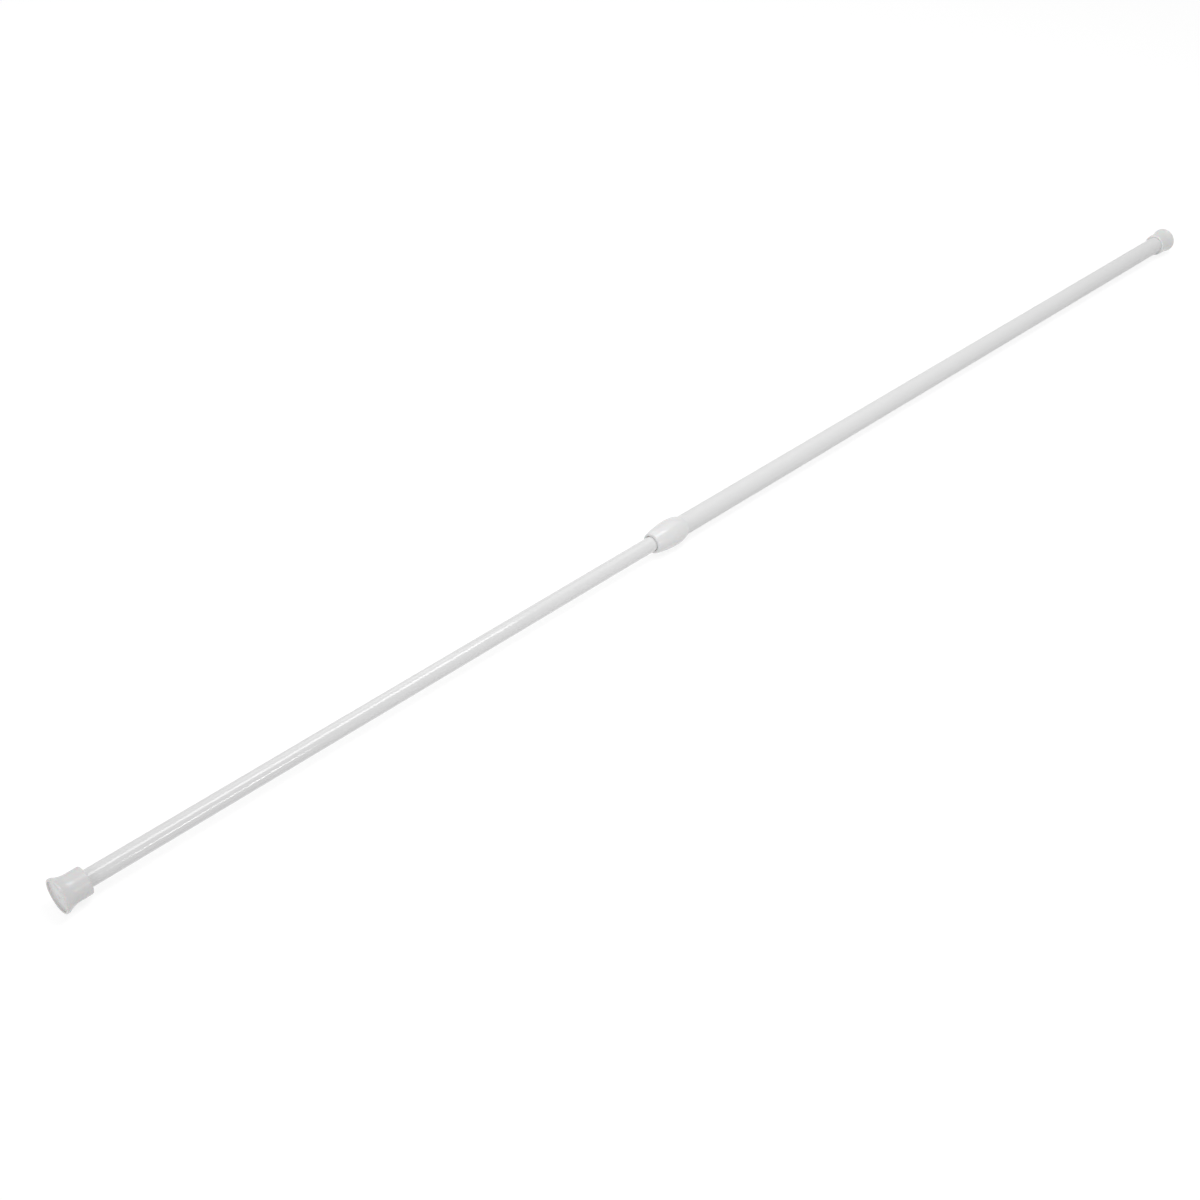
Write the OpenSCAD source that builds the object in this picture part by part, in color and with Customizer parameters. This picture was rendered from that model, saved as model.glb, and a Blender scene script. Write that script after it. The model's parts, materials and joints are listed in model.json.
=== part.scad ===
// Spring tension rod: two telescopic tubes with a twist lock and a spring inside.
// Millimetres. +X runs along the rod. The origin is the centre of the outer foot's end face.

/* [Tubes] */
// Outside diameter of the outer tube
outer_d = 12.7; // [12:0.1:16]
// Wall of the outer tube
outer_wall = 0.5; // [0.4:0.05:0.7]
// Length of the outer tube
outer_tube_len = 596; // [400:1:900]
// Outside diameter of the inner tube
inner_d = 9.5; // [9:0.1:10]
// Wall of the inner tube
inner_wall = 0.5; // [0.4:0.05:0.7]
// Length of the inner tube
inner_tube_len = 544; // [480:1:600]
// Length of inner tube that shows between the collar and the inner foot
exposed_len = 388.5; // [340:0.5:430]

/* [Feet] */
// Length of the outer foot
outer_foot_len = 15.5; // [14:0.5:24]
// Wall of the outer foot's neck round the tube
outer_foot_wall = 1.7; // [1.5:0.1:3.5]
// How far the outer foot's flange stands out from its neck
outer_foot_lip = 1.15; // [0.6:0.05:3]
// Length of the inner foot
inner_foot_len = 15.4; // [14:0.1:24]
// Wall of the inner foot's neck round the tube
inner_foot_wall = 2.8; // [1.5:0.1:3.5]
// How far the inner foot's flange stands out from its neck
inner_foot_lip = 1.95; // [0.6:0.05:3]
// Thickness of rubber between the tube's plug and the wall
foot_floor = 2.4; // [1.5:0.1:4]
// Thickness of the flange at its rim
rim_t = 1.7; // [0.8:0.1:2]
// Distance from the end face to where the hollow flare meets the neck
flare_len = 8.5; // [5:0.1:9]
// Radius on the rim's front edge
rim_edge = 0.5; // [0.1:0.05:0.6]
// Depth of the round recess in the end face
cup_depth = 1; // [0.4:0.1:1.4]
// Width of the flat land that is left round the recess
cup_land = 1.1; // [0.8:0.1:2.5]
// Radius on the neck's rear edge
neck_edge = 0.8; // [0.2:0.1:1.2]
// Lead-in bevel at the mouth of the foot's bore
foot_lead = 0.35; // [0.1:0.05:0.6]

/* [End plugs] */
// Thickness of a plug's head
plug_head = 1.2; // [0.8:0.1:2]
// Length of a plug's hollow shank
plug_len = 8; // [5:0.5:15]
// Wall of a plug's shank
plug_wall = 1.2; // [0.8:0.1:1.8]
// Bevel on the end of what is pressed into a tube
press_bevel = 0.4; // [0.1:0.05:0.6]

/* [Collar] */
// Length of the collar
collar_len = 26.5; // [22:0.5:30]
// Length of outer tube that the collar covers
collar_grip = 16; // [11:0.5:16]
// Distance from the mouth to the widest place
crown_at = 17; // [14:0.5:18]
// Wall of the collar over the outer tube at the widest place
crown_wall = 2.25; // [1.5:0.05:3]
// Height of the collar's rear edge over the outer tube
rear_edge = 0.3; // [0.1:0.05:0.6]
// Radial gap round the inner tube at the collar's mouth
mouth_gap = 0.4; // [0.3:0.05:1.1]
// Depth of the straight part of the mouth
mouth_depth = 0.8; // [0.6:0.1:2]
// Depth at which the mouth has narrowed to the sliding throat
throat_at = 2.2; // [2.2:0.1:4]
// Wall of the lip round the mouth
lip_wall = 1.35; // [0.5:0.05:1.4]
// Bevel on the lip's outer edge
lip_bevel = 0.3; // [0.1:0.05:0.4]
// Radial gap between the throat and the inner tube
slide_gap = 0.1; // [0.05:0.01:0.1]

/* [Spindle] */
// Diameter of the spindle's threaded end, journal and rear stub
spindle_d = 4; // [3.4:0.1:4.4]
// Width of the hexagonal shank across its flats
hex_af = 5; // [4.6:0.1:5.4]
// Gap between each flat of the shank and the guide bushing
hex_gap = 0.1; // [0.05:0.01:0.15]
// Radius of the thrust flange and its washer
thrust_r = 4.6; // [4.3:0.1:5.2]
// Thickness of the thrust flange
flange_t = 1.6; // [1:0.1:3]
// Lead of the thread in one turn
thread_lead = 1.5; // [1:0.1:2]
// Bevel on the spindle's ends
spindle_bevel = 0.4; // [0.1:0.05:0.6]
// Length of spindle past the clip and past the stop nut
spindle_tail = 1.2; // [0.8:0.1:2]
// Radial gap of the journal in the sleeve, the washers and the taper nut
journal_gap = 0.05; // [0.02:0.01:0.1]

/* [Twist lock] */
// Length of the sleeve's solid hub, behind the slots
hub_len = 5; // [3:0.5:10]
// Radial gap between the sleeve and the bore of the outer tube, when locked
grip_gap = 0.03; // [0.02:0.01:0.08]
// Depth of the tapered seat
seat_len = 8; // [6:0.5:9]
// Wall of the sleeve's fingers at the tip
finger_wall = 1.3; // [1:0.05:1.6]
// Number of fingers
finger_count = 4; // [3:1:6]
// How far the slots run on past the seat
slot_run = 5; // [3.5:0.5:8]
// Width of the slots
slot_w = 1.2; // [1:0.1:1.4]
// Gap on each side of a key in its slot
key_gap = 0.1; // [0.05:0.01:0.2]
// Number of grip grooves round the fingers
groove_count = 5; // [3:1:5]
// Distance from one grip groove to the next
groove_pitch = 1.3; // [1:0.05:1.4]
// Width of a grip groove
groove_w = 0.5; // [0.3:0.05:0.7]
// Depth of a grip groove
groove_depth = 0.3; // [0.1:0.05:0.4]
// Wall of the taper nut's nose
nose_wall = 0.75; // [0.5:0.05:1]
// Gap between the taper nut and its seat, when locked
seat_gap = 0.03; // [0.02:0.01:0.08]
// Length of the taper nut that stands out of the sleeve
nut_head = 2; // [1.5:0.1:3]
// Thickness of the end clip
clip_t = 0.6; // [0.4:0.05:0.8]
// How far the clip stands out from the spindle
clip_rim = 1.6; // [1.2:0.1:2]
// Depth of the clip's groove in the spindle
clip_seat = 0.5; // [0.3:0.05:0.7]
// Gap between the slack taper nut and the clip
clip_gap = 0.2; // [0.1:0.05:0.5]
// Thickness of the thrust washer
thrust_t = 0.5; // [0.4:0.1:1]
// Section of the garter ring
ring_d = 1.2; // [1:0.05:1.4]
// Distance from the end of the seat to the garter ring's groove
ring_back = 0.9; // [0.4:0.1:1.5]
// Radial gap between the garter ring and the bore of the outer tube
ring_gap = 0.05; // [0.02:0.01:0.1]

/* [Spring] */
// Length of the spring as fitted
spring_len = 48; // [42:1:60]
// Diameter of the spring wire
wire_d = 1.1; // [0.9:0.05:1.2]
// Radial gap between the spring and the corners of the shank
spring_gap = 0.85; // [0.5:0.05:1]
// Number of turns, closed end turns included
spring_turns = 14; // [12:1:16]

/* [Guide bushing] */
// Width of the bushing's head, which runs in the outer tube
head_len = 4; // [3:0.5:8]
// Radial gap between the head and the bore of the outer tube
guide_gap = 0.1; // [0.05:0.01:0.1]
// Length of the bushing inside the inner tube
shank_len = 10; // [8:0.5:16]
// Thickness of the stop washer
stop_t = 0.8; // [0.5:0.1:1.5]
// Thickness of the stop nut
stop_nut_t = 3.2; // [2.4:0.1:4]
// Radial gap between the stop nut's corners and the bore of the inner tube
stop_gap = 0.3; // [0.2:0.05:0.5]

/* [Hidden] */

// Smooth circles, and finer ones for the collar's long shallow arcs
$fn = 96;
arc_fn = 360;
// Overshoot of a cut past the face that it opens
cut = 1;

tube_white = [0.93, 0.93, 0.93];
plastic_white = [0.95, 0.95, 0.94];
rubber_white = [0.84, 0.84, 0.84];
steel_grey = [0.62, 0.63, 0.65];
lock_grey = [0.35, 0.36, 0.38];

outer_r = outer_d / 2;
outer_bore_r = outer_r - outer_wall;
inner_r = inner_d / 2;
inner_bore_r = inner_r - inner_wall;

// Stations along the rod, from the outer foot to the inner foot
plug_x = foot_floor;
outer_tube_x = plug_x + plug_head;
outer_tube_end = outer_tube_x + outer_tube_len;
mouth_x = outer_tube_end + collar_len - collar_grip;
overall_len = mouth_x + exposed_len + inner_foot_len;
inner_tube_end = overall_len - foot_floor - plug_head;
inner_tube_x = inner_tube_end - inner_tube_len;
bushing_x = inner_tube_x - head_len;
spring_x = bushing_x - spring_len;
flange_x = spring_x - flange_t;
thrust_x = flange_x - thrust_t;
slot_len = seat_len + slot_run;
sleeve_len = slot_len + hub_len;
sleeve_x = thrust_x - sleeve_len;
nut_x = sleeve_x - nut_head;
clip_x = nut_x - thread_lead - clip_gap - clip_t;
stop_x = inner_tube_x + shank_len;
stop_nut_x = stop_x + stop_t;

// Radii of the lock and the spindle
spindle_r = spindle_d / 2;
journal_r = spindle_r + journal_gap;
hex_r = hex_af / 2 / cos(30);
hex_bore_r = (hex_af / 2 + hex_gap) / cos(30);
sleeve_r = outer_bore_r - grip_gap;
tip_r = sleeve_r - finger_wall;
nose_r = spindle_r + nose_wall;
seat_slope = (tip_r - nose_r) / seat_len;
ring_at = seat_len + ring_back + ring_d / 2;
ring_r = outer_bore_r - ring_gap - ring_d / 2;
spring_r = hex_r + spring_gap + wire_d / 2;

// Turns a profile of radius and distance into a solid along +X
module revolve_x() {
    rotate([0, 90, 0]) rotate_extrude() children();
}

// The same along -X
module revolve_back() {
    rotate([0, -90, 0]) rotate_extrude() children();
}

// A hexagonal bar along +X, by the radius of its corners
module hex_bar(r, len) {
    rotate([0, 90, 0]) cylinder(r = r, h = len, $fn = 6);
}

// What a round of radius r takes off a square corner at the origin
module corner_off(r) {
    difference() {
        square(r);
        circle(r);
    }
}

module pipe(r, bore_r, len) {
    revolve_x() translate([bore_r, 0]) square([r - bore_r, len]);
}

// Rubber foot: recessed face, flange, hollow flare, straight neck and a bore for the tube
module foot_profile(tube_r, wall, lip, len) {
    neck_r = tube_r + wall;
    rise = flare_len - rim_t;
    flare_r = (rise * rise + lip * lip) / (2 * lip);
    difference() {
        union() {
            square([neck_r, len]);
            difference() {
                square([neck_r + lip, flare_len]);
                translate([neck_r + flare_r, flare_len]) circle(flare_r, $fn = arc_fn);
            }
        }
        translate([0, -cut]) square([neck_r + lip - cup_land, cup_depth + cut]);
        translate([0, foot_floor]) square([tube_r, len]);
        translate([0, len]) mirror([0, 1]) foot_mouth(tube_r);
        translate([neck_r - neck_edge, len - neck_edge]) corner_off(neck_edge);
        translate([neck_r + lip - rim_edge, rim_edge]) mirror([0, 1]) corner_off(rim_edge);
    }
}

// Bevel round the open end of a foot's bore
module foot_mouth(tube_r) {
    polygon([[0, -cut], [tube_r + foot_lead, -cut], [tube_r + foot_lead, 0], [tube_r, foot_lead],
             [0, foot_lead]]);
}

// Plastic plug: a head as wide as the tube on a hollow shank that fills its bore
module plug_profile(tube_r, bore_r) {
    difference() {
        union() {
            square([tube_r, plug_head]);
            square([bore_r, plug_head + plug_len]);
        }
        translate([0, 2 * plug_head]) square([bore_r - plug_wall, plug_len]);
        translate([bore_r, plug_head + plug_len]) rotate(45) square(press_bevel * sqrt(2), center = true);
    }
}

// Collar: a long arc from the lip to the crown and a short one from there to the outer tube.
// Distances run back from the mouth.
module collar_profile() {
    crown_r = outer_r + crown_wall;
    mouth_r = inner_r + mouth_gap;
    throat_r = inner_r + slide_gap;
    lip_r = mouth_r + lip_wall;
    front_drop = crown_r - lip_r;
    front_r = (crown_at * crown_at + front_drop * front_drop) / (2 * front_drop);
    back_len = collar_len - crown_at;
    back_drop = crown_wall - rear_edge;
    back_r = (back_len * back_len + back_drop * back_drop) / (2 * back_drop);
    difference() {
        union() {
            intersection() {
                square([crown_r, crown_at]);
                translate([crown_r - front_r, crown_at]) circle(front_r, $fn = arc_fn);
            }
            intersection() {
                translate([0, crown_at]) square([crown_r, back_len]);
                translate([crown_r - back_r, crown_at]) circle(back_r, $fn = arc_fn);
            }
        }
        translate([0, -cut]) square([throat_r, collar_len + 2 * cut]);
        translate([0, -cut]) square([mouth_r, mouth_depth + cut]);
        polygon([[0, 0], [mouth_r, mouth_depth], [throat_r, throat_at], [0, throat_at]]);
        translate([0, collar_len - collar_grip]) square([outer_r, collar_grip + cut]);
        translate([lip_r, 0]) rotate(45) square(lip_bevel * sqrt(2), center = true);
    }
}

// Grip sleeve before it is slotted: tapered seat at the tip, bore for the journal behind it
module sleeve_profile() {
    first_groove = (ring_at - ring_d / 2 - groove_count * groove_pitch) / 2;
    difference() {
        square([sleeve_r, sleeve_len]);
        translate([0, -cut]) square([journal_r, sleeve_len + 2 * cut]);
        polygon([[0, -cut], [tip_r + cut * seat_slope, -cut], [nose_r, seat_len],
                 [nose_r, slot_len], [0, slot_len]]);
        translate([ring_r - ring_d / 2, ring_at - ring_d / 2]) square([ring_d + cut, ring_d]);
        for (i = [0 : groove_count - 1])
            translate([sleeve_r - groove_depth, first_groove + i * groove_pitch])
                square([groove_depth + cut, groove_w]);
    }
}

// Places one copy of a shape at each slot of the sleeve
module at_each_slot() {
    for (i = [0 : finger_count - 1]) rotate([i * 360 / finger_count, 0, 0]) children();
}

module outer_tube() {
    color(tube_white) translate([outer_tube_x, 0, 0]) pipe(outer_r, outer_bore_r, outer_tube_len);
}

module inner_tube() {
    color(tube_white) translate([inner_tube_x, 0, 0]) pipe(inner_r, inner_bore_r, inner_tube_len);
}

module joint_collar() {
    color(plastic_white) translate([mouth_x, 0, 0]) revolve_back() collar_profile();
}

module outer_foot() {
    color(rubber_white) revolve_x()
        foot_profile(outer_r, outer_foot_wall, outer_foot_lip, outer_foot_len);
}

module inner_foot() {
    color(rubber_white) translate([overall_len, 0, 0]) revolve_back()
        foot_profile(inner_r, inner_foot_wall, inner_foot_lip, inner_foot_len);
}

module outer_plug() {
    color(lock_grey) translate([plug_x, 0, 0]) revolve_x() plug_profile(outer_r, outer_bore_r);
}

module inner_plug() {
    color(lock_grey) translate([overall_len - plug_x, 0, 0]) revolve_back()
        plug_profile(inner_r, inner_bore_r);
}

module grip_sleeve() {
    color(lock_grey) translate([sleeve_x, 0, 0]) difference() {
        revolve_x() sleeve_profile();
        at_each_slot()
            translate([-cut, -slot_w / 2, 0]) cube([slot_len + cut, slot_w, sleeve_r + cut]);
    }
}

module garter_ring() {
    color("black") translate([sleeve_x + ring_at, 0, 0]) revolve_x()
        translate([ring_r, 0]) circle(d = ring_d, $fn = 48);
}

module thrust_washer() {
    color("ivory") translate([thrust_x, 0, 0]) pipe(thrust_r, journal_r, thrust_t);
}

// Taper nut: a cone that fills the seat, with a key for each slot of the sleeve
module taper_nut() {
    nut_len = nut_head + seat_len;
    head_r = tip_r + nut_head * seat_slope - seat_gap;
    key_w = slot_w - 2 * key_gap;
    key_r = sleeve_r - groove_depth - key_gap;
    color(lock_grey) translate([nut_x, 0, 0]) difference() {
        union() {
            revolve_x() polygon([[0, 0], [head_r, 0], [nose_r - seat_gap, nut_len], [0, nut_len]]);
            at_each_slot() translate([0, -key_w / 2, 0]) cube([nut_len, key_w, key_r]);
        }
        translate([-cut, 0, 0]) revolve_x() square([journal_r, nut_len + 2 * cut]);
    }
}

// Spindle: threaded end and journal, clip groove, thrust flange, hexagonal shank, rear stub
module spindle() {
    front_x = clip_x - spindle_tail;
    rear_x = stop_nut_x + stop_nut_t + spindle_tail;
    color(steel_grey) {
        translate([front_x, 0, 0]) revolve_x() difference() {
            square([spindle_r, rear_x - front_x]);
            translate([spindle_r - clip_seat, clip_x - front_x]) square([clip_seat + cut, clip_t]);
            for (end = [0, rear_x - front_x])
                translate([spindle_r, end]) rotate(45)
                    square(spindle_bevel * sqrt(2), center = true);
        }
        translate([flange_x, 0, 0]) pipe(thrust_r, 0, flange_t);
        translate([spring_x, 0, 0]) hex_bar(hex_r, stop_x - spring_x);
    }
}

// Open clip that snaps over the groove from the side, with two relieved corners
module end_clip() {
    groove_r = spindle_r - clip_seat;
    color(steel_grey) translate([clip_x, 0, 0]) rotate([0, 90, 0]) linear_extrude(clip_t) difference() {
        circle(spindle_r + clip_rim);
        circle(groove_r);
        translate([0, -groove_r * cos(30)]) square([spindle_d + clip_rim, 2 * groove_r * cos(30)]);
        for (side = [-1, 1]) rotate(side * 125) translate([groove_r + clip_seat / 2, 0]) circle(clip_seat);
    }
}

module stop_washer() {
    color(steel_grey) translate([stop_x, 0, 0])
        pipe(inner_bore_r - stop_gap, journal_r, stop_t);
}

module stop_nut() {
    nut_r = inner_bore_r - stop_gap;
    bevel_r = nut_r * cos(30);
    color(steel_grey) translate([stop_nut_x, 0, 0]) difference() {
        intersection() {
            hex_bar(nut_r, stop_nut_t);
            revolve_x() polygon([[0, 0], [nut_r, 0], [nut_r, stop_nut_t - (nut_r - bevel_r)],
                                 [bevel_r, stop_nut_t], [0, stop_nut_t]]);
        }
        translate([-cut, 0, 0]) pipe(spindle_r, 0, stop_nut_t + 2 * cut);
    }
}

// Compression spring: a round wire swept along a helix, with closed and ground end turns
coil_rings = 20;
wire_sides = 8;
first_rise = wire_d / 4;
closed_pitch = wire_d * 1.02;
open_pitch = (spring_len - 2 * first_rise - 2 * closed_pitch) / (spring_turns - 2);

function coil_x(turn) =
    turn < 1 ? first_rise + turn * closed_pitch :
    turn < spring_turns - 1 ? first_rise + closed_pitch + (turn - 1) * open_pitch :
    spring_len - first_rise - (spring_turns - turn) * closed_pitch;

function wire_point(turn, side) =
    let (r = spring_r + wire_d / 2 * cos(side), a = 360 * turn)
    [coil_x(turn) + wire_d / 2 * sin(side), r * cos(a), r * sin(a)];

module coil() {
    last = spring_turns * coil_rings;
    points = [for (i = [0 : last]) for (k = [0 : wire_sides - 1])
        wire_point(i / coil_rings, k * 360 / wire_sides)];
    skin = [for (i = [0 : last - 1]) for (k = [0 : wire_sides - 1])
        let (a = i * wire_sides, b = a + wire_sides, n = (k + 1) % wire_sides)
        each [[a + k, a + n, b + k], [a + n, b + n, b + k]]];
    start_cap = [for (k = [wire_sides - 1 : -1 : 0]) k];
    end_cap = [for (k = [0 : wire_sides - 1]) last * wire_sides + k];
    polyhedron(points = points, faces = concat(skin, [start_cap, end_cap]));
}

module spring() {
    slab_r = spring_r + wire_d;
    color(steel_grey) translate([spring_x, 0, 0]) intersection() {
        coil();
        translate([0, -slab_r, -slab_r]) cube([spring_len, 2 * slab_r, 2 * slab_r]);
    }
}

// Guide bushing: a head that runs in the outer tube and a shank pressed into the inner tube
module guide_bushing() {
    bushing_len = head_len + shank_len;
    color(lock_grey) translate([bushing_x, 0, 0]) difference() {
        revolve_x() difference() {
            union() {
                square([outer_bore_r - guide_gap, head_len]);
                square([inner_bore_r, bushing_len]);
            }
            translate([inner_bore_r, bushing_len]) rotate(45)
                square(press_bevel * sqrt(2), center = true);
        }
        translate([-cut, 0, 0]) hex_bar(hex_bore_r, bushing_len + 2 * cut);
    }
}

outer_tube();
joint_collar();
outer_foot();
outer_plug();
grip_sleeve();
garter_ring();
thrust_washer();
taper_nut();
spindle();
end_clip();
stop_washer();
stop_nut();
spring();
guide_bushing();
inner_tube();
inner_plug();
inner_foot();
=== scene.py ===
"""Looks of a white spring tension rod: two telescopic tubes, a barrel collar and two rubber feet."""

import json
import math

import bmesh
import bpy
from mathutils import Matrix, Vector


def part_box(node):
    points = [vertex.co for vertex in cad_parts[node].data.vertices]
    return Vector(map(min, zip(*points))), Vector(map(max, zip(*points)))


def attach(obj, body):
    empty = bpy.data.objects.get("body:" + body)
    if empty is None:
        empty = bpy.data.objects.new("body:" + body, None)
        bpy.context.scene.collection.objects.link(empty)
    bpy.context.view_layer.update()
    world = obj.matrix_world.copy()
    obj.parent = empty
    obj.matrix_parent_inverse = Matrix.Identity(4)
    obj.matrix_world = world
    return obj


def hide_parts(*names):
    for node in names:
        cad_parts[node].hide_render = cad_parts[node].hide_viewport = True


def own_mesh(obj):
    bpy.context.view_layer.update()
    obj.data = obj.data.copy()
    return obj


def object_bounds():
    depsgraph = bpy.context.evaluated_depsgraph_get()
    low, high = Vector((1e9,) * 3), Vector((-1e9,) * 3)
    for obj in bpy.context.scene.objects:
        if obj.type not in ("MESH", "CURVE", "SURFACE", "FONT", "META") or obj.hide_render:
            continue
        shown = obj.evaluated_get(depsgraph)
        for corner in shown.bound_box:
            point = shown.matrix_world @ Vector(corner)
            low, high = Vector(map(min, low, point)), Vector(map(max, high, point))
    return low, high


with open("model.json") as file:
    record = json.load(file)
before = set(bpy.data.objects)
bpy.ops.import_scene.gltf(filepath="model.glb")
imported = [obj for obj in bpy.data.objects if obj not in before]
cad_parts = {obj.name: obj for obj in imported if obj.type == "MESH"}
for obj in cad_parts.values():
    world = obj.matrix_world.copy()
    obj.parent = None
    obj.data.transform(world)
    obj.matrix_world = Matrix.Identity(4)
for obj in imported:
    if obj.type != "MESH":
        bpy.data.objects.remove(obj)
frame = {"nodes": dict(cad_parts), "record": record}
CAD_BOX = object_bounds()
MM = 0.001


# Node graphs: a wire is a socket that arithmetic works on, and a graph makes the nodes

class Wire:
    """One output socket. Arithmetic on wires adds Math nodes to their graph."""

    def __init__(self, graph, socket):
        self.graph = graph
        self.socket = socket

    def math(self, operation, *values):
        return self.graph.node("ShaderNodeMath", {"operation": operation}, dict(enumerate(values)))

    def __add__(self, other):
        return self.math("ADD", self, other)

    def __sub__(self, other):
        return self.math("SUBTRACT", self, other)

    def __rsub__(self, other):
        return self.math("SUBTRACT", other, self)

    def __mul__(self, other):
        return self.math("MULTIPLY", self, other)

    def __truediv__(self, other):
        return self.math("DIVIDE", self, other)

    __radd__ = __add__
    __rmul__ = __mul__

    def below(self, limit):
        """1 where this is less than the limit, 0 elsewhere."""
        return self.math("LESS_THAN", self, limit)

    def least(self, other):
        return self.math("MINIMUM", self, other)

    def clamp(self, low, high):
        return self.math("MAXIMUM", self.least(high), low)

    def absolute(self):
        return self.math("ABSOLUTE", self)

    def pingpong(self, scale):
        return self.math("PINGPONG", self, scale)

    def sine(self):
        return self.math("SINE", self)

    def cosine(self):
        return self.math("COSINE", self)


class Graph:
    """A node tree whose node method makes any node: its type, its settings, then its sockets."""

    def node(self, kind, settings=None, inputs=None, output=0):
        made = self.tree.nodes.new(kind)
        for key, value in (settings or {}).items():
            setattr(made, key, value)
        for key, value in (inputs or {}).items():
            self.feed(made.inputs[key], value)
        return Wire(self, made.outputs[output]) if made.outputs else None

    def feed(self, socket, value):
        if isinstance(value, Wire):
            self.tree.links.new(value.socket, socket)
        else:
            socket.default_value = value


class Finish(Graph):
    """A material built round one principled shader."""

    def __init__(self, name, **fixed):
        self.material = bpy.data.materials.new(name)
        self.material.use_nodes = True
        self.tree = self.material.node_tree
        self.shader = self.tree.nodes["Principled BSDF"]
        for socket, value in fixed.items():
            self.shader.inputs[socket.replace("_", " ")].default_value = value
        self.place = self.node("ShaderNodeTexCoord", output="Object")

    def noise(self, scale, detail=3.0, stretch=(1, 1, 1)):
        """Noise with scale cycles a metre, stretched along the rod where the first factor is low."""
        place = self.node("ShaderNodeMapping", {}, {"Vector": self.place, "Scale": stretch})
        return self.node("ShaderNodeTexNoise", {"noise_dimensions": "3D"},
                         {"Vector": place, "Scale": scale, "Detail": detail})

    def cells(self, scale):
        """Distance to scattered points, for pores and pits."""
        return self.node("ShaderNodeTexVoronoi", {"feature": "F1"},
                         {"Vector": self.place, "Scale": scale}, "Distance")

    def grey(self, factor, dark, light):
        """A neutral colour that runs from dark to light as factor runs from 0 to 1."""
        # Sockets 6 and 7 and output 2 are the Mix node's colour ones
        return self.node("ShaderNodeMix", {"data_type": "RGBA"},
                         {0: factor, 6: (dark, dark, dark, 1), 7: (light, light, light, 1)}, 2)

    def bump(self, height, distance, strength):
        return self.node("ShaderNodeBump", {},
                         {"Height": height, "Distance": distance, "Strength": strength})

    def paint(self, **sockets):
        """Joins wires to the shader's sockets, and gives the material back."""
        for socket, wire in sockets.items():
            self.feed(self.shader.inputs[socket.replace("_", " ")], wire)
        return self.material


class Growth(Graph):
    """A Geometry Nodes tree with named sizes, which grows one plain mesh."""

    def __init__(self, name):
        self.tree = bpy.data.node_groups.new(name, "GeometryNodeTree")
        self.tree.interface.new_socket(
            "Geometry", in_out="OUTPUT", socket_type="NodeSocketGeometry")
        self.given = self.tree.nodes.new("NodeGroupInput")
        self.result = self.tree.nodes.new("NodeGroupOutput")
        self.sockets = {}

    def size(self, name):
        """A named input of the tree, as a wire."""
        socket = self.tree.interface.new_socket(
            name, in_out="INPUT", socket_type="NodeSocketFloat")
        self.sockets[name] = socket.identifier
        return Wire(self, self.given.outputs[name])

    def point(self, x, y, z):
        return self.node("ShaderNodeCombineXYZ", {}, {0: x, 1: y, 2: z})

    def place(self):
        """The x, y and z of each point."""
        spot = self.node("GeometryNodeInputPosition")
        return [self.node("ShaderNodeSeparateXYZ", {}, {0: spot}, axis) for axis in "XYZ"]

    def moved(self, geometry, position):
        return self.node("GeometryNodeSetPosition", {}, {"Geometry": geometry, "Position": position})

    def grow(self, geometry, material, sizes):
        """Ends the tree, runs it with these sizes and gives the mesh."""
        real = self.node("GeometryNodeRealizeInstances", {}, {0: geometry})
        done = self.node("GeometryNodeSetMaterial", {}, {"Geometry": real, "Material": material})
        self.tree.links.new(done.socket, self.result.inputs[0])
        seed = bpy.data.objects.new(self.tree.name, bpy.data.meshes.new(self.tree.name))
        bpy.context.scene.collection.objects.link(seed)
        modifier = seed.modifiers.new("growth", "NODES")
        modifier.node_group = self.tree
        for name, value in sizes.items():
            modifier[self.sockets[name]] = value
        whole = seed.evaluated_get(bpy.context.evaluated_depsgraph_get())
        mesh = bpy.data.meshes.new_from_object(whole)
        seed.modifiers.remove(modifier)
        bpy.data.objects.remove(seed)
        return mesh


# Finishes

def satin_white():
    """Satin powder coat: fine orange peel, a little speckle and long wipe marks."""
    f = Finish("satin_white_coat", **{"Specular IOR Level": 0.45})
    peel = f.noise(1500, 2.0)
    speckle = f.noise(6000, 1.0)
    wipe = f.noise(90, 4.0, (0.06, 1, 1))
    cloud = f.noise(9, 2.0)
    return f.paint(
        Base_Color=f.grey(0.6 * cloud + 0.4 * speckle, 0.775, 0.815),
        Roughness=0.40 + 0.10 * wipe + 0.04 * peel,
        Normal=f.bump(peel, 0.02 * MM, 0.5))


def gloss_white():
    """Gloss lacquer on drawn steel: smooth, with faint draw lines along the tube."""
    f = Finish("gloss_white_lacquer", **{"Specular IOR Level": 0.5, "Coat Roughness": 0.04})
    draw = f.noise(900, 3.0, (0.012, 1, 1))
    cloud = f.noise(11, 2.0)
    peel = f.noise(420, 2.0)
    return f.paint(
        Base_Color=f.grey(0.5 * cloud + 0.5 * draw, 0.785, 0.82),
        Roughness=0.08 + 0.06 * draw,
        Coat_Weight=0.25 + 0.15 * cloud,
        Normal=f.bump(0.7 * peel + 0.3 * draw, 0.004 * MM, 0.2))


def gloss_plastic():
    """Moulded gloss plastic, with slight sink and flow marks."""
    f = Finish("collar_gloss_plastic", **{"Specular IOR Level": 0.4, "Subsurface Weight": 0.06,
                                          "Subsurface Scale": 2 * MM})
    sink = f.noise(140, 2.0)
    flow = f.noise(260, 3.0, (0.3, 1, 1))
    fine = f.noise(3000, 1.0)
    return f.paint(
        Base_Color=f.grey(0.5 * sink + 0.5 * flow, 0.795, 0.835),
        Roughness=0.05 + 0.04 * flow,
        Normal=f.bump(0.8 * sink + 0.2 * fine, 0.02 * MM, 0.3))


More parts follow.
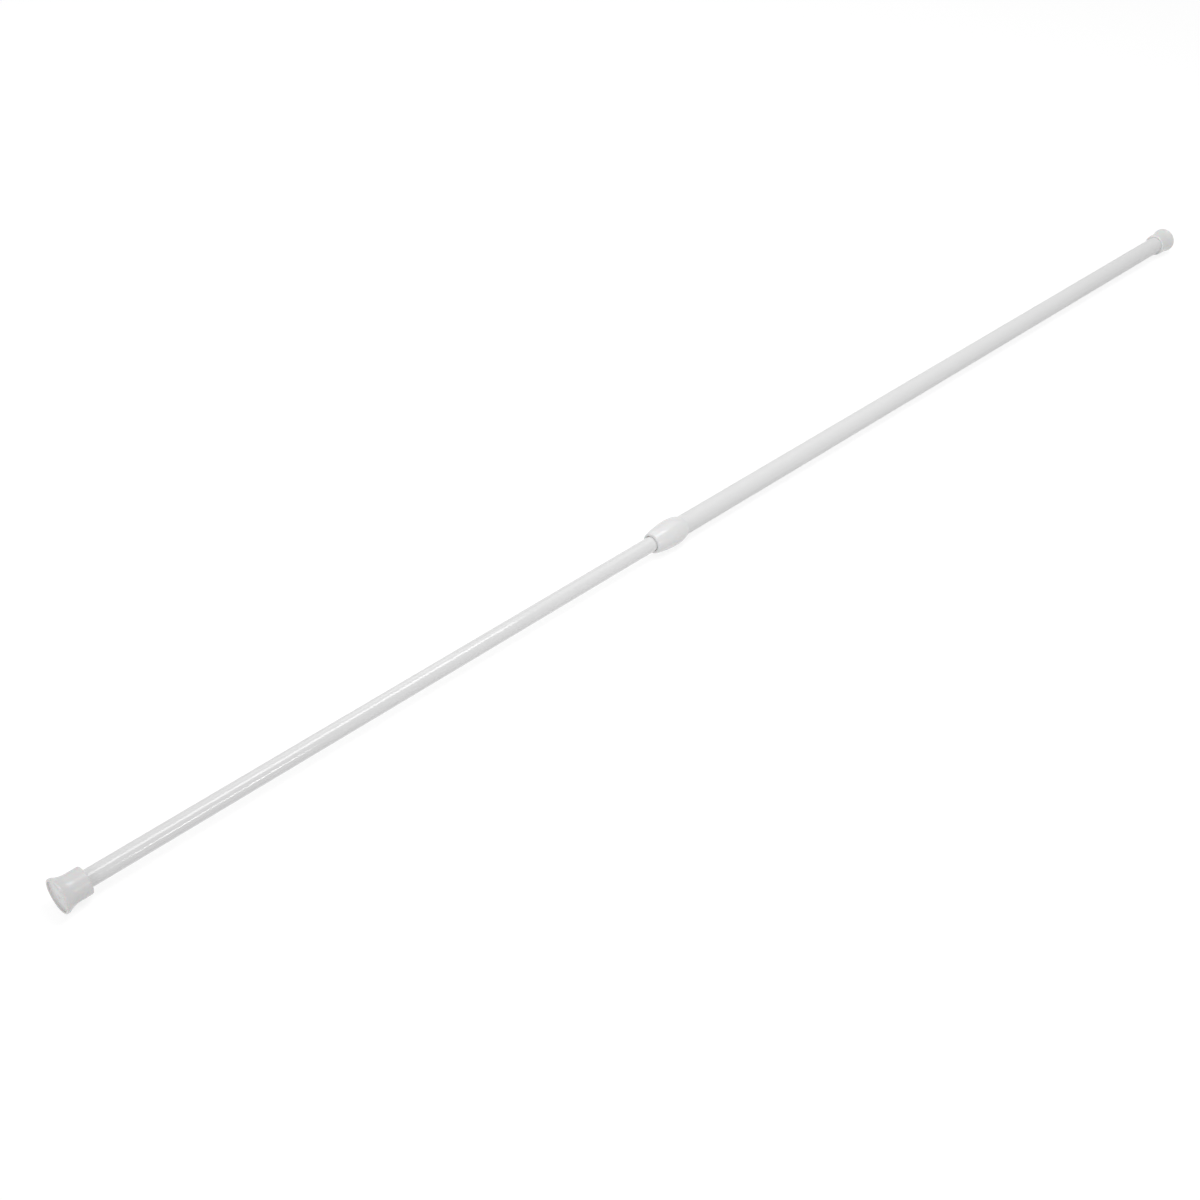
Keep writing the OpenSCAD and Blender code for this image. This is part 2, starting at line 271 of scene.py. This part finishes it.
def white_rubber():
    """Soft greyish-white rubber: matt grain and pores, with a little light through it."""
    f = Finish("foot_white_rubber", **{"Specular IOR Level": 0.5, "Subsurface Weight": 0.15,
                                       "Subsurface Scale": 3 * MM})
    grain = f.noise(2600, 3.0)
    pores = f.cells(2200)
    cloud = f.noise(120, 3.0)
    return f.paint(
        Base_Color=f.grey(0.6 * cloud + 0.4 * grain, 0.73, 0.79),
        Roughness=0.20 + 0.08 * grain,
        Normal=f.bump(0.6 * grain + 0.4 * pores, 0.03 * MM, 0.4))


def moulded(name, dark, light, roughness):
    """Plain moulded plastic of the hidden pieces."""
    f = Finish(name, **{"Specular IOR Level": 0.4})
    grain = f.noise(1800, 3.0)
    flow = f.noise(200, 3.0, (0.3, 1, 1))
    return f.paint(Base_Color=f.grey(flow, dark, light), Roughness=roughness + 0.1 * grain,
                   Normal=f.bump(grain, 0.02 * MM, 0.4))


def black_rubber():
    f = Finish("ring_black_rubber", **{"Specular IOR Level": 0.3})
    grain = f.noise(2500, 3.0)
    return f.paint(Base_Color=f.grey(grain, 0.02, 0.045), Roughness=0.6 + 0.15 * grain,
                   Normal=f.bump(grain, 0.02 * MM, 0.4))


def lined_steel(name, dark, light, stretch):
    """Plated or drawn steel, with fine lines across or along it."""
    f = Finish(name)
    lines = f.noise(1500, 2.0, stretch)
    cloud = f.noise(60, 3.0)
    return f.paint(Base_Color=f.grey(0.5 * lines + 0.5 * cloud, dark, light),
                   Metallic=0.92 + 0.08 * cloud, Roughness=0.24 + 0.14 * lines,
                   Normal=f.bump(lines, 0.01 * MM, 0.4))


FINISHES = {
    "outer_tube_paint": satin_white(),
    "inner_tube_paint": gloss_white(),
    "collar_plastic": gloss_plastic(),
    "foot_rubber": white_rubber(),
    "plug_plastic": moulded("plug_plastic_natural", 0.70, 0.76, 0.4),
    "lock_plastic": moulded("lock_plastic_grey", 0.10, 0.14, 0.42),
    "ring_rubber": black_rubber(),
    "zinc_steel": lined_steel("zinc_plated_steel", 0.52, 0.66, (2.0, 0.15, 0.15)),
    "spring_steel": lined_steel("spring_wire_steel", 0.42, 0.52, (1.0, 1.0, 1.0)),
}
SLOTS = {part["node"]: part["material_slot"] for part in frame["record"]["subparts"]}
BODIES = {node: body for body, nodes in frame["record"]["behaviour"]["bodies"].items()
          for node in nodes}


def dress(piece, node):
    """Gives a piece the finish of a node, all over."""
    piece.data.materials.clear()
    piece.data.materials.append(FINISHES[SLOTS[node]])


for name, piece in frame["nodes"].items():
    dress(piece, name)


# Mesh tools

SAME_POINT = 1e-7
SHARP_ANGLE = math.radians(35)


def stand_in(node, name, mesh):
    """Makes a closed mesh the piece that stands for a node, on its body and with its finish."""
    bm = bmesh.new()
    bm.from_mesh(mesh)
    bmesh.ops.remove_doubles(bm, verts=bm.verts, dist=SAME_POINT)
    bmesh.ops.dissolve_degenerate(bm, edges=bm.edges, dist=SAME_POINT)
    bmesh.ops.recalc_face_normals(bm, faces=bm.faces)
    bm.to_mesh(mesh)
    bm.free()
    mesh.shade_smooth()
    mesh.set_sharp_from_angle(angle=SHARP_ANGLE)
    piece = bpy.data.objects.new(name, mesh)
    bpy.context.scene.collection.objects.link(piece)
    dress(piece, node)
    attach(piece, BODIES[node])
    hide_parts(node)
    return piece


def lofted(stations, sides):
    """A mesh through rings round the X axis. A station is its x and a radius at an angle."""
    points = []
    for x, radius in stations:
        for i in range(sides):
            angle = 2 * math.pi * i / sides
            r = radius(angle) if callable(radius) else radius
            points.append((x, r * math.sin(angle), r * math.cos(angle)))
    solid = stations[0][1] == 0 and stations[-1][1] == 0
    faces = []
    for k in range(len(stations) - (1 if solid else 0)):
        here = k * sides
        there = (k + 1) % len(stations) * sides
        for i in range(sides):
            j = (i + 1) % sides
            faces.append((here + i, here + j, there + j, there + i))
    mesh = bpy.data.meshes.new("loft")
    mesh.from_pydata(points, [], faces)
    return mesh


def arc(x, r, size, start, end, steps):
    """Stations of an arc centred at (x, r), from one angle to another, in degrees."""
    turns = [math.radians(start + (end - start) * i / steps) for i in range(steps + 1)]
    return [(x + size * math.cos(t), r + size * math.sin(t)) for t in turns]


LONG_RUN = 1.0
HOLD = 0.1


def held(outline):
    """A closed outline, with points near the ends of long runs so that they shade straight."""
    points = []
    for (x, r), (next_x, next_r) in zip(outline, outline[1:] + outline[:1]):
        points.append((x, r))
        run = math.hypot(next_x - x, next_r - r)
        if run > LONG_RUN and (r or next_r):
            for share in (HOLD / run, 1 - HOLD / run):
                points.append((x + (next_x - x) * share, r + (next_r - r) * share))
    return points


def metres(outline, origin, direction):
    """An outline in millimetres from an end face, as stations along the rod."""
    return [(origin + direction * x * MM, r * MM) for x, r in held(outline)]


def radii(node):
    """Smallest and largest radius of a node about the rod's axis, in millimetres."""
    away = [math.hypot(v.co.y, v.co.z) / MM for v in frame["nodes"][node].data.vertices]
    return min(away), max(away)


# Tubes: many more sides than the frame's, and edges broken as on a cut tube

ROUND_SIDES = 144
BROKEN_EDGE = 0.1
EDGE_STEPS = 3


def tube(node):
    low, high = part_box(node)
    bore, outside = radii(node)
    length = (high.x - low.x) / MM
    e = BROKEN_EDGE
    outline = (arc(e, outside - e, e, 180, 90, EDGE_STEPS)
               + arc(length - e, outside - e, e, 90, 0, EDGE_STEPS)
               + arc(length - e, bore + e, e, 360, 270, EDGE_STEPS)
               + arc(e, bore + e, e, 270, 180, EDGE_STEPS))
    stand_in(node, node + "_drawn", lofted(metres(outline, low.x, 1), ROUND_SIDES))


tube("outer_tube")
tube("inner_tube")


# Feet: recessed face, flange, hollow flare, straight neck and the bore for the tube

CUP_DEPTH = 1.0
CUP_LAND = 1.1
CUP_EDGE = 0.15
RIM_T = 1.7
RIM_EDGE = 0.5
RIM_BACK_EDGE = 0.15
FLARE_LEN = 8.5
NECK_EDGE = 0.8
FOOT_LEAD = 0.35
FOOT_FLOOR = 2.4
GATE_R = 1.6
GATE_DEPTH = 0.25
OUTER_FOOT_WALL = 1.7
INNER_FOOT_WALL = 2.8
RIM_STEPS = 6
FLARE_STEPS = 18
NECK_STEPS = 8


def foot(node, tube_node, wall, direction):
    low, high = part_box(node)
    length = (high.x - low.x) / MM
    tube_r = radii(tube_node)[1]
    rim_r = radii(node)[1]
    neck_r = tube_r + wall
    lip = rim_r - neck_r
    rise = FLARE_LEN - RIM_T
    flare_r = (rise ** 2 + lip ** 2) / (2 * lip)
    sweep = math.degrees(math.asin(rise / flare_r))
    cup_r = rim_r - CUP_LAND
    outline = ([(CUP_DEPTH + GATE_DEPTH, 0), (CUP_DEPTH + GATE_DEPTH, GATE_R - GATE_DEPTH),
                (CUP_DEPTH, GATE_R)]
               + arc(CUP_DEPTH - CUP_EDGE, cup_r - CUP_EDGE, CUP_EDGE, 0, 90, EDGE_STEPS)
               + arc(CUP_EDGE, cup_r + CUP_EDGE, CUP_EDGE, 270, 180, EDGE_STEPS)
               + arc(RIM_EDGE, rim_r - RIM_EDGE, RIM_EDGE, 180, 90, RIM_STEPS)
               + arc(RIM_T - RIM_BACK_EDGE, rim_r - RIM_BACK_EDGE, RIM_BACK_EDGE,
                     90, 30, EDGE_STEPS)
               + arc(FLARE_LEN, neck_r + flare_r, flare_r, 270 - sweep, 270, FLARE_STEPS)[1:]
               + arc(length - NECK_EDGE, neck_r - NECK_EDGE, NECK_EDGE, 90, 0, NECK_STEPS)
               + [(length, tube_r + FOOT_LEAD), (length - FOOT_LEAD, tube_r), (FOOT_FLOOR, tube_r),
                  (FOOT_FLOOR, 0)])
    end_face = low.x if direction > 0 else high.x
    stand_in(node, node + "_moulded", lofted(metres(outline, end_face, direction), ROUND_SIDES))


foot("outer_foot", "outer_tube", OUTER_FOOT_WALL, 1)
foot("inner_foot", "inner_tube", INNER_FOOT_WALL, -1)


# Collar: a long arc from the lip to the crown and a short one down to the outer tube

COLLAR_GRIP = 16.0
CROWN_AT = 17.0
REAR_EDGE = 0.3
MOUTH_GAP = 0.3
MOUTH_DEPTH = 0.35
THROAT_AT = 0.8
LIP_WALL = 1.45
LIP_EDGE = 0.3
SLIDE_GAP = 0.1
CORNER_SHARE = 0.3
FRONT_STEPS = 40
BACK_STEPS = 24


def collar():
    low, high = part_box("joint_collar")
    length = (high.x - low.x) / MM
    outer_r = radii("outer_tube")[1]
    inner_r = radii("inner_tube")[1]
    crown_r = radii("joint_collar")[1]
    mouth_r = inner_r + MOUTH_GAP
    lip_r = mouth_r + LIP_WALL
    throat_r = inner_r + SLIDE_GAP
    front_drop = crown_r - lip_r
    front_r = (CROWN_AT ** 2 + front_drop ** 2) / (2 * front_drop)
    back_len = length - CROWN_AT
    back_drop = crown_r - outer_r - REAR_EDGE
    back_r = (back_len ** 2 + back_drop ** 2) / (2 * back_drop)
    front_sweep = math.degrees(math.asin((CROWN_AT - LIP_EDGE) / front_r))
    back_sweep = math.degrees(math.asin(back_len / back_r))
    corner = LIP_EDGE * CORNER_SHARE
    outline = ([(0, mouth_r), (0, lip_r - LIP_EDGE), (corner, lip_r - corner)]
               + arc(CROWN_AT, crown_r - front_r, front_r, 90 + front_sweep, 90, FRONT_STEPS)
               + arc(CROWN_AT, crown_r - back_r, back_r, 90, 90 - back_sweep, BACK_STEPS)[1:]
               + [(length, outer_r), (length - COLLAR_GRIP, outer_r),
                  (length - COLLAR_GRIP, throat_r), (THROAT_AT, throat_r), (MOUTH_DEPTH, mouth_r)])
    stand_in("joint_collar", "joint_collar_moulded",
             lofted(metres(outline, high.x, -1), ROUND_SIDES))


collar()


# Spring: round wire on a helix, with closed and ground end turns

WIRE_R = 0.55
TURNS = 14
WIRE_RINGS = 40
WIRE_SIDES = 14
CLOSED_SLACK = 1.02
CLOSED_PITCH = CLOSED_SLACK * 2 * WIRE_R


def spring():
    low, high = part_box("spring")
    g = Growth("spring_coil")
    coil_r, wire_r = g.size("Coil radius"), g.size("Wire radius")
    length, closed = g.size("Length"), g.size("Closed pitch")
    turns, start = g.size("Turns"), g.size("Start")
    line = g.node("GeometryNodeCurvePrimitiveLine")
    rings = g.node("GeometryNodeResampleCurve", {"mode": "COUNT"},
                   {"Curve": line, "Count": TURNS * WIRE_RINGS + 1})
    turn = turns * g.node("GeometryNodeSplineParameter", output="Factor")
    first = wire_r / 2
    open_turns = turns - 2
    open_pitch = (length - wire_r - 2 * closed) / open_turns
    ends = turn.clamp(0, 1) + (turn - open_turns - 1).clamp(0, 1)
    reach = first + closed * ends + open_pitch * (turn - 1).clamp(0, open_turns)
    angle = turn * (2 * math.pi)
    helix = g.moved(rings, g.point(start + reach, coil_r * angle.cosine(), coil_r * angle.sine()))
    section = g.node("GeometryNodeCurvePrimitiveCircle", {"mode": "RADIUS"},
                     {"Resolution": WIRE_SIDES, "Radius": wire_r})
    wire = g.node("GeometryNodeCurveToMesh", {},
                  {"Curve": helix, "Profile Curve": section, "Fill Caps": True})
    x, y, z = g.place()
    ground = g.moved(wire, g.point(x.clamp(start, start + length), y, z))
    mesh = g.grow(ground, FINISHES["spring_steel"], {
        "Coil radius": radii("spring")[1] * MM - WIRE_R * MM, "Wire radius": WIRE_R * MM,
        "Length": high.x - low.x, "Closed pitch": CLOSED_PITCH * MM, "Turns": float(TURNS),
        "Start": low.x})
    return stand_in("spring", "spring_coil", mesh)


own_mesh(spring())


# Spindle: a rolled thread for the taper nut, then journal, flange, hexagonal shank and stub

SPINDLE_R = 2.0
CLIP_GROOVE_R = 1.5
FLANGE_R = 4.6
HEX_AF = 5.0
THREAD_LEAD = 1.5
THREAD_DEPTH = 0.42
THREAD_SLOPE = 1.6
THREAD_CREST = 0.3
THREAD_PAST_NUT = 1.0
THREAD_ROWS = 180
THREAD_SIDES = 48
THREAD_WELD = 1e-6
SPINDLE_BEVEL = 0.4
HEX_SIDES = 96


def thread_end():
    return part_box("taper_nut")[1].x + THREAD_PAST_NUT * MM


def spindle_thread():
    """Thread on a wrapped grid: rows run along the spindle, and the end rows close on the axis."""
    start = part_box("spindle")[0].x
    clip_low, clip_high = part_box("end_clip")
    g = Growth("spindle_thread")
    radius, depth, lead = g.size("Radius"), g.size("Depth"), g.size("Lead")
    begin, length, bevel = g.size("Start"), g.size("Length"), g.size("Bevel")
    groove_r = g.size("Groove radius")
    groove_at, groove_w = g.size("Groove at"), g.size("Groove width")
    grid = g.node("GeometryNodeMeshGrid", {},
                  {"Size X": 1.0, "Size Y": 1.0, "Vertices X": THREAD_ROWS,
                   "Vertices Y": THREAD_SIDES + 1})
    x, y, _ = g.place()
    row = x + 0.5
    around = y + 0.5
    step = 1 / (THREAD_ROWS - 1)
    along = length * ((row - step) / (1 - 2 * step)).clamp(0, 1)
    wave = (along / lead - around).pingpong(0.5) * 2
    tooth = (wave * THREAD_SLOPE - THREAD_CREST).clamp(0, 1)
    fade = ((length - along) / lead).clamp(0, 1)
    threaded = (radius - depth * tooth * fade).least(radius - (bevel - along).clamp(0, bevel))
    in_groove = (along - groove_at).absolute().below(groove_w / 2)
    cut = threaded.least(radius + (groove_r - radius) * in_groove)
    on_axis = row.below(step / 2) + (1 - row).below(step / 2)
    r = cut * (1 - on_axis)
    angle = around * (2 * math.pi)
    skin = g.moved(grid, g.point(begin + along, r * angle.sine(), r * angle.cosine()))
    merged = g.node("GeometryNodeMergeByDistance", {}, {"Geometry": skin, "Distance": THREAD_WELD})
    mesh = g.grow(merged, FINISHES["zinc_steel"], {
        "Radius": SPINDLE_R * MM, "Depth": THREAD_DEPTH * MM, "Lead": THREAD_LEAD * MM,
        "Start": start, "Length": thread_end() - start, "Bevel": SPINDLE_BEVEL * MM,
        "Groove radius": CLIP_GROOVE_R * MM, "Groove at": (clip_low.x + clip_high.x) / 2 - start,
        "Groove width": clip_high.x - clip_low.x})
    stand_in("spindle", "spindle_thread", mesh)


def hexagon(flat_r):
    """Radius of a hexagon at an angle, with a corner at the angle 0."""
    return lambda angle: flat_r / math.cos(angle % (math.pi / 3) - math.pi / 6)


def spindle_shank():
    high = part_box("spindle")[1]
    thrust_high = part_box("thrust_washer")[1].x
    spring_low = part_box("spring")[0].x
    stop_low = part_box("stop_washer")[0].x
    core, flange = SPINDLE_R * MM, FLANGE_R * MM
    shank = hexagon(HEX_AF / 2 * MM)
    bevel = SPINDLE_BEVEL * MM
    edge = BROKEN_EDGE * MM
    stations = [(thread_end(), 0), (thread_end(), core), (thrust_high, core),
                (thrust_high, flange - edge), (thrust_high + edge, flange),
                (spring_low - edge, flange), (spring_low, flange - edge),
                (spring_low, shank), (stop_low, shank), (stop_low, core),
                (high.x - bevel, core), (high.x, core - bevel), (high.x, 0)]
    stand_in("spindle", "spindle_shank", lofted(stations, HEX_SIDES))


spindle_thread()
spindle_shank()


# Stage: pale floor, soft lamps and a white backdrop

FLOOR_GAP = 0.05 * MM
FLOOR_SIZE = 8
FLOOR_AT = 0.5
FLOOR_GREY = 0.8
FLOOR_SHADE = 0.30
FLOOR_LIFT = 0.80
SKY_STRENGTH = 0.365
WHITE = (1, 1, 1, 1)


class Shading(Graph):
    """The emptied node tree of a world or a material."""

    def __init__(self, owner):
        owner.use_nodes = True
        self.tree = owner.node_tree
        self.tree.nodes.clear()

    def split(self, for_light, for_sight):
        """One shader for the light that falls on the part, and one for what is looked at."""
        camera, gloss, glass = [self.node("ShaderNodeLightPath", output=name) for name in
                                ("Is Camera Ray", "Is Glossy Ray", "Is Transmission Ray")]
        return self.node("ShaderNodeMixShader", {}, {0: (camera + gloss + glass).clamp(0, 1),
                                                     1: for_light, 2: for_sight})


def make_world(strength):
    """A sky of this strength, which is plain white where it is looked at."""
    world = bpy.data.worlds.new("studio")
    bpy.context.scene.world = world
    s = Shading(world)
    soft = s.node("ShaderNodeBackground", {}, {"Color": WHITE, "Strength": strength})
    white = s.node("ShaderNodeBackground", {}, {"Color": WHITE, "Strength": 1.0})
    s.node("ShaderNodeOutputWorld", {}, {"Surface": s.split(soft, white)})


def grey_of(level):
    return level, level, level, 1


def make_floor(z, shade, lift):
    """A pale floor that is looked at as white, and that darkens by a share of its shadows."""
    bpy.ops.mesh.primitive_plane_add(size=FLOOR_SIZE, location=(FLOOR_AT, 0, z))
    floor = bpy.context.object
    floor.name = "floor"
    material = bpy.data.materials.new("pale_floor")
    s = Shading(material)
    pale = s.node("ShaderNodeBsdfDiffuse", {}, {"Color": grey_of(FLOOR_GREY)})
    shaded = s.node("ShaderNodeBsdfDiffuse", {}, {"Color": grey_of(shade)})
    white = s.node("ShaderNodeEmission", {}, {"Strength": lift})
    seen = s.node("ShaderNodeAddShader", {}, {0: shaded, 1: white})
    s.node("ShaderNodeOutputMaterial", {}, {"Surface": s.split(pale, seen)})
    floor.data.materials.append(material)


def lamp(name, place, aim, size, radiance):
    """A rectangular lamp whose face is radiance times as bright as white."""
    data = bpy.data.lights.new(name, "AREA")
    data.shape = "RECTANGLE"
    data.size, data.size_y = size
    data.energy = radiance * math.pi * size[0] * size[1]
    made = bpy.data.objects.new(name, data)
    made.location = place
    made.rotation_euler = (Vector(aim) - Vector(place)).to_track_quat("-Z", "Y").to_euler()
    made.visible_camera = False
    bpy.context.scene.collection.objects.link(made)


make_world(SKY_STRENGTH)
make_floor(CAD_BOX[0].z - FLOOR_GAP, FLOOR_SHADE, FLOOR_LIFT)
lamp("ceiling_panel", place=(0.0, -0.3, 1.4), aim=(0.4, 0, 0), size=(1.6, 1.2), radiance=0.65)
lamp("back_fill", place=(0.6, -1.2, 1.0), aim=(0.6, 0, 0), size=(1.4, 1.0), radiance=0.7)
lamp("end_fill", place=(3.3, 0.9, 0.9), aim=(0.6, 0, 0), size=(2.0, 2.0), radiance=1.8)
lamp("softbox", place=(0.48, 0.144, 0.9), aim=(0.48, 0, 0), size=(0.62, 0.37), radiance=3.9)
lamp("side_strip", place=(0.437, 1.35, 0.39), aim=(0.437, 0, 0), size=(0.30, 0.17),
     radiance=10.0)


# Camera: the photograph's view, from beside the inner foot and above

VIEW_AZIMUTH = math.radians(134.985)
VIEW_ELEVATION = math.radians(37.32)
CAMERA_PLACE = (1.1993, 0.5445, 0.5681)
FOCAL_PX = 1614
FRAME_PX = 1200
SENSOR_MM = 36
NEAR_CLIP = 0.01


def make_camera():
    data = bpy.data.cameras.new("camera")
    data.sensor_width = SENSOR_MM
    data.lens = FOCAL_PX / FRAME_PX * SENSOR_MM
    data.clip_start = NEAR_CLIP
    made = bpy.data.objects.new("camera", data)
    made.location = CAMERA_PLACE
    made.rotation_euler = (math.pi / 2 - VIEW_ELEVATION, 0, VIEW_AZIMUTH)
    bpy.context.scene.collection.objects.link(made)
    bpy.context.scene.camera = made


make_camera()
bpy.context.scene.view_settings.view_transform = "Standard"
